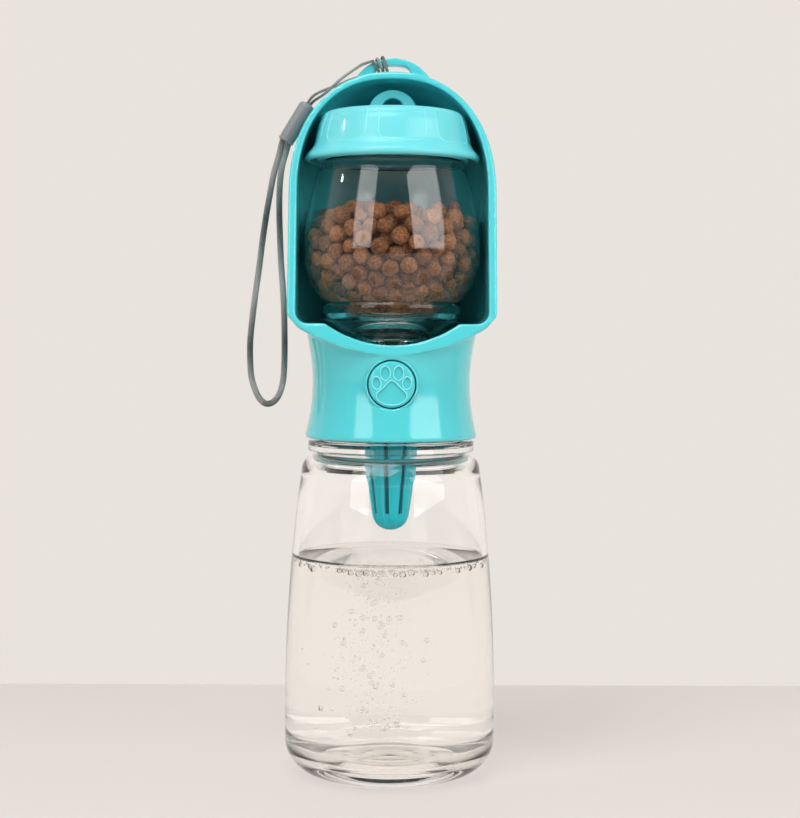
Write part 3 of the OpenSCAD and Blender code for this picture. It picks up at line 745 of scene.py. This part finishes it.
food_bm = bmesh.new()
tone = food_bm.verts.layers.float.new("tone")
turns = random.Random(3)
shown = 0
for centre, size in zip(centres, sizes):
    out = math.hypot(centre[0], centre[1])
    if out < float(np.interp(centre[2], wall_z, wall_r)) - 4 * PELLET and centre[2] < 198:
        continue
    shown += 1
    round_z = Matrix.Rotation(math.atan2(centre[1], centre[0]), 4, "Z")
    facing = round_z @ Matrix.Rotation(slope(out, centre[2]), 4, "Y")
    lies = turns.random() < 0.8 and out > 12
    if lies and centre[2] > 176:
        closer = 1 + 0.18 * size / out
        centre = centre * np.array([closer, closer, 1])
    if not lies:
        facing = Euler((0, turns.uniform(-1.4, 1.4), turns.uniform(0, 6.28))).to_matrix().to_4x4()
    tilt = Euler((turns.uniform(0, 6.28), turns.gauss(0, 0.22), turns.gauss(0, 0.22))).to_matrix().to_4x4()
    place = spot(*centre) @ facing @ tilt @ Matrix.Diagonal((1, 1, turns.uniform(0.92, 1.06), 1))
    shade = turns.random()
    dots = []
    for p in disc:
        bump = 1 + turns.gauss(0, 0.025)
        dots.append(food_bm.verts.new(place @ (Vector(p) * float(size) * bump * MM)))
        dots[-1][tone] = shade
    for face in disc_faces:
        food_bm.faces.new([dots[i] for i in face])
print(shown, "pellets")
dry_food = finished(food_bm, "dry_food", "cup", "inner_plastic", crease=80)

# %% [markdown]
# ## The cup's lid
#
# The lid is a low cone with a flared foot that screws on the cup, and a lifting
# loop stands behind its top. A turned solid, a cut from below and a fine remesh
# give it the soft edges of a moulding.

# %% Lid
LID_TOP, LID_CORNER = (22.4, 232.3), 3.4
flare = [(31.1, 219.5), (30.8, 220.5), (28.9, 222.6), (27.95, 224.2), (27.4, 227), (26.4, 231.3),
         (25.7, 232.8)]
lid_side = [(0, 232.6), (25.2, 232.6), (25.2, 218.5), (30.1, 218.3), (30.9, 218.8)] + flare
lid_side += ellipse(*LID_TOP, LID_CORNER, LID_CORNER, 10, 20, 80) + [(12, 236), (0, 236.2)]
lid = loose(turned(lid_side, 192), "lid")
groove = [(26.9, 217), (29.3, 217), (29.3, 219.6), (27.3, 222), (26.9, 223.4)]
cut(lid, loose(turned(groove, 128, closed=True)))
lift = drawn(ellipse(0, 235.1, 9, 9, 40, 6, 174), 0, 4)
cut(lift, rod(4, -1, 5, 237.2, 64))
joined(lid, lift)
melted(lid, 0.38, 3)
cup_lid = settled(lid, "lid", "head_plastic", ["cup_lid"], crease=50)

# %% [markdown]
# Eight grip panels go round the lid's side. Here a panel is no hollow but a fine
# raised line round its edge, which catches the light; its paler colour is a
# painted highlight. The line is one outline, laid on the lid's cone: for every
# height the cone has a radius, and the point's depth follows from that.

# %% Lines round the panels
PANELS, PANEL_TURN = 8, 7


def lid_radius(z):
    """The lid's outer radius at height z."""
    if z > 233.4:
        return LID_TOP[0] + math.sqrt(LID_CORNER**2 - (z - LID_TOP[1]) ** 2)
    return float(np.interp(z, [at for _, at in flare], [r for r, _ in flare]))


panel_line = [(8.4 - 0.08 * (z - 226.4), z) for z in (234.2, 233.7, 233, 231.5, 230, 228.5)]
panel_line += ellipse(5.2, 226.4, 3.1, 3.1, 10, 0, -90) + [(x, 223.3) for x in (4.2, 3.1, 2.1, 1.05)]
lines_bm = bmesh.new()
for k in range(PANELS):
    turn = math.radians(360 / PANELS * k + PANEL_TURN)
    on_cone = []
    for x, z in both_sides(panel_line):
        y = -math.sqrt((lid_radius(z) - 0.06) ** 2 - x * x)
        on_cone.append((x * math.cos(turn) - y * math.sin(turn), x * math.sin(turn) + y * math.cos(turn), z))
    lines_bm.from_mesh(line_mesh(on_cone, 0.21, closed=False))
lid_lines = finished(lines_bm, "lid_lines", "lid", "head_plastic", crease=60)

# %% [markdown]
# ## The filter basket
#
# Below the head hangs a fluted basket with long slots. It starts as a turned
# shell. Pulling its points in between the ribs makes the flutes, and thin blocks
# cut the slots in the flutes' floors.

# %% Filter basket
SLOTS, SLOT_TURN, FLUTE_DEEP = 8, 33, 0.75
SLOT_GAP = 360 / SLOTS
basket_out = [(0, 86.8), (2, 87), (4, 87.9), (5.4, 89.2), (6.3, 91), (6.9, 94), (7.7, 99), (8.5, 105),
              (9, 111), (9.4, 117), (9.8, 123), (10, 127.9)]
basket = basket_out + [(11.6, 127.9), (11.6, 129.7), (8.05, 129.7), (8.05, 131.8), (7, 131.8), (7, 128.8)]
basket += [(r - 1.2, z) for r, z in basket_out[::-1] if z > 88] + [(0, 88.6)]
basket_bm = turned(basket, 192)
for v in basket_bm.verts:
    r, z = math.hypot(v.co.x, v.co.y) / MM, v.co.z / MM
    if r > 1 and z < 124:
        a = math.degrees(math.atan2(v.co.y, v.co.x)) - SLOT_TURN
        off = abs((a + SLOT_GAP / 2) % SLOT_GAP - SLOT_GAP / 2)
        depth = FLUTE_DEEP * math.exp(-((off / 8.5) ** 4)) * min(1, (z - 87) / 5) * min(1, (124 - z) / 4)
        v.co.x *= 1 - depth / r
        v.co.y *= 1 - depth / r
filter_basket = loose(basket_bm, "basket")
for k in range(SLOTS):
    slit = bmesh.new()
    sized = spot(8, 0, 108.5) @ Matrix.Diagonal((9 * MM, 1.5 * MM, 31 * MM, 1))
    bmesh.ops.create_cube(slit, size=1, matrix=tipped(SLOT_GAP * k + SLOT_TURN, "Z") @ sized)
    cut(filter_basket, loose(slit))
settled(filter_basket, "filter", "inner_plastic", ["filter_basket"], crease=40)

# %% [markdown]
# ## The sleeve
#
# The grey sleeve is a short moulded tube that grips both cords. It is turned
# along Z and then laid along the line between its two ends.

# %% Cord sleeve
SLEEVE_R = 2.9
top, end = Vector((-30, 0, 238.9)), Vector((-38.2, 0, 225.4))
long = (end - top).length
sleeve_side = [(0, 0), (1.4, 0), (2.5, 0.5), (SLEEVE_R, 1.5), (SLEEVE_R, long - 1.7), (2.75, long - 1.5),
               (2.75, long - 1.2), (SLEEVE_R, long - 1), (SLEEVE_R, long - 0.3), (2.5, long), (0, long)]
sleeve_bm = turned(soften(sleeve_side, 0.4, least=15), 96)
lay = spot(*top) @ Vector((0, 0, 1)).rotation_difference(end - top).to_matrix().to_4x4()
bmesh.ops.transform(sleeve_bm, matrix=lay, verts=sleeve_bm.verts)
cord_sleeve = finished(sleeve_bm, "sleeve", "head", "sleeve_plastic", ["cord_sleeve"])

# %% [markdown]
# ## The cords as tubes
#
# A Blender curve with a round bevel makes the tube and, once it is a mesh,
# brings a UV map that runs along and around the cord, which the braid's pattern
# needs: it has to follow the cord round every bend.

# %% Cords
def cord_piece(line, diameter, name, slot, hides):
    """A tube along the line, on the head's body and in its slot, that hides the CAD cord it stands for."""
    piece = placed(line_mesh([p / MM for p in line], diameter / 2, closed=False, fineness=4), name)
    piece.data.name = name
    settled(piece, "head", slot, [hides], crease=60)
    print(name, "UV maps:", [layer.name for layer in piece.data.uv_layers])


cord_piece(hitch_line, 1.0, "lanyard_thin", "thin_cord", "hitch_cord")
cord_piece(wrist_line, 2.2, "lanyard_thick", "wrist_braid", "wrist_cord")

# %% [markdown]
# ## Shared effects
#
# Three effects come back in several materials, so each is a node group that is
# built once. "handling" breaks up a gloss with faint smudges and gives a fine
# orange-peel height. "tone drift" lets a colour wander a little, as moulded
# plastic does. "braid" draws crossing strands from a UV map.

# %% Helpers for node trees
NUMBER, COLOUR, ARROW = "NodeSocketFloat", "NodeSocketColor", "NodeSocketVector"


def new_group(name, inputs, outputs):
    """A node group, the sockets that its inputs come from and those that its outputs go to."""
    tree = bpy.data.node_groups.new(name, "ShaderNodeTree")
    for way, sockets in (("INPUT", inputs), ("OUTPUT", outputs)):
        for label, kind in sockets.items():
            tree.interface.new_socket(label, in_out=way, socket_type=kind)
    return tree, tree.nodes.new("NodeGroupInput").outputs, tree.nodes.new("NodeGroupOutput").inputs


def add(tree, kind, links=(), **values):
    """A node in tree, with its values set and its inputs linked."""
    node = tree.nodes.new(kind)
    for key, value in values.items():
        setattr(node, key, value)
    for socket, source in links:
        if hasattr(source, "is_output"):
            tree.links.new(source, node.inputs[socket])
        else:
            node.inputs[socket].default_value = source
    return node


def maths(tree, how, a, b=0.0, c=None):
    """The output of one step of arithmetic."""
    node = add(tree, "ShaderNodeMath", [(0, a), (1, b)] + ([(2, c)] if c is not None else []), operation=how)
    return node.outputs[0]


def noise(tree, place, scale, detail, roughness=0.5):
    """The values of a cloudy noise."""
    looks = [("Vector", place), ("Scale", scale), ("Detail", detail), ("Roughness", roughness)]
    return add(tree, "ShaderNodeTexNoise", looks).outputs["Fac"]


# %% Node groups
handling, g_in, g_out = new_group("handling", {"Place": ARROW, "Roughness": NUMBER, "Smudge": NUMBER,
                                               "Peel": NUMBER}, {"Roughness": NUMBER, "Height": NUMBER})
smudged = maths(handling, "SUBTRACT", noise(handling, g_in["Place"], 55.0, 4.0, 0.6), 0.5)
smudged = maths(handling, "MULTIPLY_ADD", smudged, g_in["Smudge"], g_in["Roughness"])
handling.links.new(smudged, g_out["Roughness"])
dimples = maths(handling, "MULTIPLY", noise(handling, g_in["Place"], 900.0, 2.0), g_in["Peel"])
handling.links.new(dimples, g_out["Height"])

drift, g_in, g_out = new_group("tone drift", {"Place": ARROW, "Colour": COLOUR, "Drift": NUMBER,
                                              "Scale": NUMBER}, {"Colour": COLOUR})
cloud = maths(drift, "SUBTRACT", noise(drift, g_in["Place"], g_in["Scale"], 3.0), 0.5)
level = maths(drift, "MULTIPLY_ADD", cloud, g_in["Drift"], 1.0)
shaded = add(drift, "ShaderNodeHueSaturation", [("Color", g_in["Colour"]), ("Value", level)])
drift.links.new(shaded.outputs["Color"], g_out["Colour"])

braid, g_in, g_out = new_group("braid", {"Along": NUMBER, "Around": NUMBER}, {"Height": NUMBER})
humps = []
for how in ("ADD", "SUBTRACT"):
    strand = maths(braid, "FRACT", maths(braid, how, g_in["Along"], g_in["Around"]))
    humps.append(maths(braid, "SINE", maths(braid, "MULTIPLY", strand, math.pi)))
braid.links.new(maths(braid, "MAXIMUM", *humps), g_out["Height"])
print("node groups:", [g.name for g in bpy.data.node_groups])

# %% [markdown]
# ## Finishes
#
# All plastics share one recipe: a Principled shader, whose colour drifts a
# little, whose gloss carries faint smudges and whose skin has a trace of orange
# peel. Only the numbers differ. Colours are given as they look on a screen and
# are turned into the linear values that a shader wants.

# %% Helpers for finishes
def linear(r, g, b):
    """A screen colour from 0 to 255 as linear red, green, blue and alpha."""
    shares = (r / 255, g / 255, b / 255)
    return tuple(v / 12.92 if v <= 0.04045 else ((v + 0.055) / 1.055) ** 2.4 for v in shares) + (1,)


def new_finish(name):
    """A material, its node tree, its shader and the place on the piece in object coordinates."""
    finish = bpy.data.materials.new(name)
    finish.use_nodes = True
    tree = finish.node_tree
    print("finish:", name)
    return finish, tree, tree.nodes["Principled BSDF"], tree.nodes.new("ShaderNodeTexCoord").outputs["Object"]


def tinted(tree, shader, place, colour, drift_by, scale=18.0):
    """Colours the shader, with a little drift from place to place."""
    tint = add(tree, "ShaderNodeGroup", [("Place", place), ("Colour", linear(*colour)), ("Drift", drift_by),
                                         ("Scale", scale)], node_tree=drift)
    tree.links.new(tint.outputs["Colour"], shader.inputs["Base Color"])


def skinned(tree, shader, place, roughness, smudge, peel):
    """Gives the shader its smudged roughness, and returns the height of its orange peel."""
    skin = add(tree, "ShaderNodeGroup", [("Place", place), ("Roughness", roughness), ("Smudge", smudge),
                                         ("Peel", peel)], node_tree=handling)
    tree.links.new(skin.outputs["Roughness"], shader.inputs["Roughness"])
    return skin.outputs["Height"]


def bumped(tree, shader, height, strength, distance):
    lift = add(tree, "ShaderNodeBump", [("Height", height), ("Strength", strength), ("Distance", distance)])
    tree.links.new(lift.outputs["Normal"], shader.inputs["Normal"])


def set_ramp(ramp, low, low_colour, high, high_colour):
    for stop, position, colour in zip(ramp.elements, (low, high), (low_colour, high_colour)):
        stop.position, stop.color = position, linear(*colour)


# %% Plastic finishes
def plastic(name, colour, roughness, smudge=0.06, peel=0.25, coat=0.0, bump=0.02):
    finish, tree, shader, place = new_finish(name)
    tinted(tree, shader, place, colour, 0.05)
    bumped(tree, shader, skinned(tree, shader, place, roughness, smudge, peel), bump, 0.0002)
    shader.inputs["Coat Weight"].default_value = coat
    shader.inputs["Coat Roughness"].default_value = 0.04
    return finish


head_gloss = plastic("turquoise gloss", (84, 208, 215), 0.15, smudge=0.04, coat=0.35)
# The lid is the head's turquoise made paler: painted light for the lamp above it, on top of its own rougher
# finish.
lid_sheen_painted_light = plastic("lid sheen with painted light", (108, 216, 223), 0.34, smudge=0.04, coat=0.12)
# The ridge lines on the lid and the paw are a paler turquoise still: a painted highlight along their crests.
ridge_gloss_painted_highlight = plastic("ridge gloss with painted highlight", (136, 234, 239), 0.25, coat=0.2)
inner_satin = plastic("turquoise satin", (18, 195, 207), 0.38)
sleeve_grey = plastic("grey sleeve", (133, 135, 138), 0.42, peel=0.8, bump=0.08)
rubber_black = plastic("black rubber", (32, 32, 34), 0.62, peel=1.0, bump=0.1)
silicone_milk = plastic("milky silicone", (226, 228, 224), 0.45, peel=0.5, bump=0.05)
milk = silicone_milk.node_tree.nodes["Principled BSDF"]
milk.inputs["Subsurface Weight"].default_value = 0.2
milk.inputs["Subsurface Scale"].default_value = 0.002

# %% [markdown]
# Clear plastic is a transmitting shader with the refractive index of the resin.
# Water has its own. Both carry a very faint unevenness, which keeps the
# highlights from looking drawn with a ruler. A renderer's lamps can't see through
# a bending surface, so for their rays alone the clear pieces are merely a little
# grey: food, basket and table behind them then get the light that really comes
# through.

# %% Clear finishes
def clear(name, ior, colour, roughness, wobble, shade):
    """A clear finish. shade is the share of lamp light that one of its surfaces lets through."""
    finish, tree, shader, place = new_finish(name)
    tinted(tree, shader, place, colour, 0.01)
    shader.inputs["Transmission Weight"].default_value = 1.0
    shader.inputs["Metallic"].default_value = 0.0
    shader.inputs["IOR"].default_value = ior
    skinned(tree, shader, place, roughness, roughness * 0.8, 0.0)
    bumped(tree, shader, noise(tree, place, 60.0, 1.0), wobble, 0.001)
    is_shadow = tree.nodes.new("ShaderNodeLightPath").outputs["Is Shadow Ray"]
    veil = add(tree, "ShaderNodeBsdfTransparent", [("Color", (shade, shade, shade, 1))])
    either = add(tree, "ShaderNodeMixShader", [(0, is_shadow), (1, shader.outputs[0]), (2, veil.outputs[0])])
    tree.links.new(either.outputs[0], tree.nodes["Material Output"].inputs["Surface"])
    return finish


clear_plastic = clear("clear plastic", 1.5, (254, 254, 253), 0.01, 0.02, 0.93)
cup_plastic = clear("clear cup plastic", 1.45, (254, 254, 253), 0.015, 0.02, 0.97)
water_finish = clear("water", 1.33, (250, 247, 245), 0.0, 0.015, 0.99)

# %% [markdown]
# Steel parts are brushed: a noise stretched along one axis gives fine lines in
# the roughness. They hide inside the head and show when it is taken apart.

# %% Steel
steel, tree, shader, place = new_finish("brushed steel")
shader.inputs["Base Color"].default_value = linear(196, 197, 200)
shader.inputs["Metallic"].default_value = 1.0
stretch = add(tree, "ShaderNodeMapping", [("Vector", place), ("Scale", (3000, 60, 3000))])
lines = noise(tree, stretch.outputs["Vector"], 1.0, 2.0)
tree.links.new(maths(tree, "MULTIPLY_ADD", lines, 0.18, 0.22), shader.inputs["Roughness"])

# %% [markdown]
# The food is baked dough: a brown that differs from pellet to pellet, dark pores
# and lighter crumbs, and a dull crust that is rough to the touch.

# %% Food finish
food_finish, tree, shader, place = new_finish("baked food")
pellet_tone = add(tree, "ShaderNodeAttribute", attribute_name="tone").outputs["Fac"]
crumb = noise(tree, place, 1100.0, 5.0, 0.65)
pores = add(tree, "ShaderNodeTexVoronoi", [("Vector", place), ("Scale", 900.0)]).outputs["Distance"]
mixed = maths(tree, "MULTIPLY_ADD", crumb, 0.9, maths(tree, "MULTIPLY", pellet_tone, 0.25))
bake = add(tree, "ShaderNodeValToRGB", [("Fac", mixed)])
set_ramp(bake.color_ramp, 0.3, (60, 33, 15), 0.85, (194, 131, 76))
bake.color_ramp.elements.new(0.52).color = linear(130, 78, 38)
tree.links.new(bake.outputs["Color"], shader.inputs["Base Color"])
shader.inputs["Roughness"].default_value = 0.72
bumped(tree, shader, maths(tree, "ADD", crumb, maths(tree, "MULTIPLY", pores, 0.6)), 1.0, 0.0011)

# %% [markdown]
# A braided cord is many fine yarns that cross at a slant. The pattern runs on
# the cord's own UV map, repeated along its length, and gives both the height of
# the strands and a painted shade in the low gaps between them.

# %% Cord finishes
def braided(name, colour, dark, along, around):
    """A braid with that many strands along the whole cord and around it."""
    finish, tree, shader, place = new_finish(name)
    uv = add(tree, "ShaderNodeUVMap").outputs["UV"]
    parts = add(tree, "ShaderNodeSeparateXYZ", [("Vector", uv)])
    weave = add(tree, "ShaderNodeGroup", node_tree=braid)
    tree.links.new(maths(tree, "MULTIPLY", parts.outputs["Y"], along), weave.inputs["Along"])
    tree.links.new(maths(tree, "MULTIPLY", parts.outputs["X"], around), weave.inputs["Around"])
    height = maths(tree, "MULTIPLY_ADD", noise(tree, place, 2500.0, 2.0), 0.3, weave.outputs["Height"])
    # The ramp paints shade into the low gaps between the strands: dark where the braid's height is low.
    yarn_and_gap_shade = add(tree, "ShaderNodeValToRGB", [("Fac", height)])
    set_ramp(yarn_and_gap_shade.color_ramp, 0.78, dark, 1.0, colour)
    tree.links.new(yarn_and_gap_shade.outputs["Color"], shader.inputs["Base Color"])
    shader.inputs["Roughness"].default_value = 0.8
    bumped(tree, shader, height, 0.8, 0.0003)
    return finish


# The second colour of each cord is its painted gap shade.
thin_finish = braided("thin cord", (172, 172, 168), (80, 88, 86), 150.0, 3.0)
wrist_finish = braided("wrist braid", (182, 182, 178), (28, 44, 42), 140.0, 3.0)

# %% [markdown]
# Every CAD node and every piece gets the finish of its slot. Six pieces then get
# a finish of their own.

# %% Put the finishes on
FINISH = {"clear_shell": clear_plastic, "head_plastic": head_gloss, "inner_plastic": inner_satin,
          "silicone": silicone_milk, "black_rubber": rubber_black, "steel": steel, "thin_cord": thin_finish,
          "wrist_braid": wrist_finish, "sleeve_plastic": sleeve_grey}
# The lid's own finish carries painted light.
OWN_FINISH = ((water, water_finish), (food_cup, cup_plastic), (dry_food, food_finish), (cup_lid, lid_sheen_painted_light),
              # The ridge lines and the paw get a finish with a painted highlight.
              (lid_lines, ridge_gloss_painted_highlight), (paw, ridge_gloss_painted_highlight))
slots = [(frame["nodes"][part["node"]], part["material_slot"]) for part in frame["record"]["subparts"]]
slots += [(o, o["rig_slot"]) for o in bpy.context.scene.objects if o.type == "MESH" and "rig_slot" in o]
for piece, slot in slots:
    piece.data.materials.clear()
    piece.data.materials.append(FINISH[slot])
for piece, finish in OWN_FINISH:
    piece.data.materials[0] = finish
print("finished:", len(slots), "nodes and pieces")

# %% [markdown]
# ## The table and the wall
#
# A pale table with its back edge a hand's breadth behind the bottle, and a pale
# wall well behind it, give the picture's plain background. The wall shows its
# colour evenly, however the lamps stand, and the table shows a share of it. Seen
# through clear plastic both are a little brighter, which makes up for what every
# clear surface turns away.

# %% Table and wall
CLEAR_GAIN = 0.13


def slab(name, low, high, colour, shown, even, through):
    """A stage slab. What is seen of it is partly the plain colour shown.

    That share is even for the camera, and through for what lies behind clear plastic."""
    piece = block(low, high)
    piece.name = name
    finish, tree, shader, place = new_finish(name)
    tinted(tree, shader, place, colour, 0.02, 2.0)
    shader.inputs["Roughness"].default_value = 0.6
    shader.inputs["Specular IOR Level"].default_value = 0.2
    path = tree.nodes.new("ShaderNodeLightPath").outputs
    direct = maths(tree, "MULTIPLY", path["Is Camera Ray"], even)
    beyond = maths(tree, "MAXIMUM", path["Is Transmission Ray"], path["Is Glossy Ray"])
    share = maths(tree, "MAXIMUM", direct, maths(tree, "MULTIPLY", beyond, through))
    gain = maths(tree, "MULTIPLY_ADD", path["Is Transmission Ray"], CLEAR_GAIN, 1.0)
    glow = add(tree, "ShaderNodeEmission", [("Color", linear(*shown)), ("Strength", gain)])
    either = add(tree, "ShaderNodeMixShader", [(0, share), (1, shader.outputs[0]), (2, glow.outputs[0])])
    tree.links.new(either.outputs[0], tree.nodes["Material Output"].inputs["Surface"])
    piece.data.materials.append(finish)


slab("table", (-2500, -2500, -40), (2500, 144, 0), (221, 215, 210), (237, 230, 225), 0.35, 0.85)
slab("wall", (-2500, 900, -1500), (2500, 950, 2600), (233, 227, 221), (233, 227, 221), 1.0, 1.0)

# %% [markdown]
# ## Light
#
# The room is dim in front of the bottle and brighter behind it, so the clear
# pieces stay clear. A lamp high in front is the main light: the trough's hood
# shades its own inside. A wide soft box at each side draws the upright
# reflections on cup, waist and bottle, and one small lamp gives the glints.

# %% World
ROOM, ROOM_SWING, ROOM_THROUGH = 0.42, 0.32, 0.82
world = bpy.data.worlds.new("studio")
bpy.context.scene.world = world
world.use_nodes = True
tree = world.node_tree
sky = tree.nodes["Background"]
sky.inputs["Color"].default_value = (1.0, 0.985, 0.965, 1)
looking = tree.nodes.new("ShaderNodeTexCoord").outputs["Generated"]
back = add(tree, "ShaderNodeSeparateXYZ", [("Vector", looking)]).outputs["Y"]
behind = maths(tree, "MULTIPLY_ADD", back, ROOM_SWING, ROOM)
rear = maths(tree, "MINIMUM", maths(tree, "MULTIPLY_ADD", back, 1.6, ROOM_THROUGH), ROOM_THROUGH)
through = maths(tree, "MULTIPLY", tree.nodes.new("ShaderNodeLightPath").outputs["Is Transmission Ray"], rear)
tree.links.new(maths(tree, "MAXIMUM", behind, through), sky.inputs["Strength"])
print("world:", world.name)

# %% Lamps
MIDDLE = (0, 0, 0.15)


def soft_box(name, at, aim, width, height, power):
    """A rectangular lamp in metres and watts that the camera doesn't see."""
    lamp = bpy.data.lights.new(name, "AREA")
    lamp.shape, lamp.size, lamp.size_y, lamp.energy = "RECTANGLE", width, height, power
    box = placed(lamp, name)
    box.location = at
    box.rotation_euler = (Vector(aim) - Vector(at)).to_track_quat("-Z", "Y").to_euler()
    box.visible_camera = False


soft_box("key", (-0.3, -0.65, 1.45), MIDDLE, 0.9, 0.9, 11)
soft_box("left window", (-0.63, -0.777, 0.55), MIDDLE, 0.46, 0.7, 3)
soft_box("right window", (0.755, -0.656, 0.55), MIDDLE, 0.85, 0.7, 6)
soft_box("glint", (-0.775, -0.092, 0.605), (-0.017, -0.021, 0.228), 0.02, 0.02, 0.5)
bpy.context.scene.view_settings.view_transform = "Standard"
